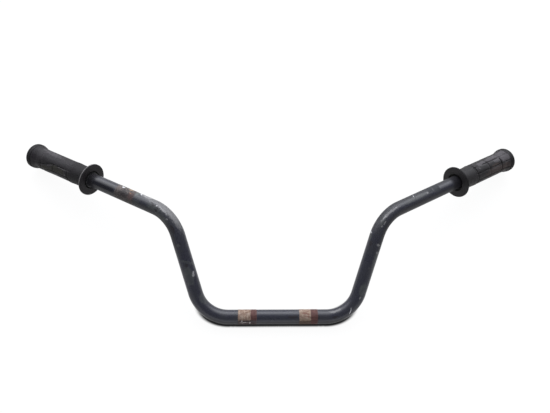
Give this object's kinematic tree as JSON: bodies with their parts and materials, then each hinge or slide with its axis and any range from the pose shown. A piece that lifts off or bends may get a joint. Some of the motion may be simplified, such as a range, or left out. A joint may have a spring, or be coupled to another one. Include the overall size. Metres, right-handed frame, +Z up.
{
  "type": "motorcycle handlebar",
  "caption": "Bent black steel tube handlebar with upright risers, swept-back ends, a rubber grip on each end and a turning twist grip.",
  "frame": {"origin": "on the tube's axis, in the middle of the clamp section", "axes": "+X along the clamp section towards the rider's left grip, +Y from the clamp section towards the grips, +Z up with the bar standing on a flat surface on its clamp section and on the ends of both grips"},
  "size_m": [0.8356, 0.3056, 0.0948],
  "materials": {
    "painted_steel": "satin black paint with a slight blue cast, worn at the clamp seats and bends",
    "grip_rubber": "aged matte black rubber, dusty",
    "sleeve_plastic": "black nylon"
  },
  "bodies": {
    "bar": {"handlebar_tube": "painted_steel", "left_grip": "grip_rubber"},
    "throttle": {"throttle_grip": "grip_rubber", "throttle_sleeve": "sleeve_plastic"}
  },
  "joints": [
    {"name": "throttle_twist", "type": "hinge", "parent": "bar", "child": "throttle", "pos_m": [-0.29735, 0.21451, 0.03922], "axis": [-0.8436, 0.481, -0.2388], "range_deg": [0, 80]}
  ]
}
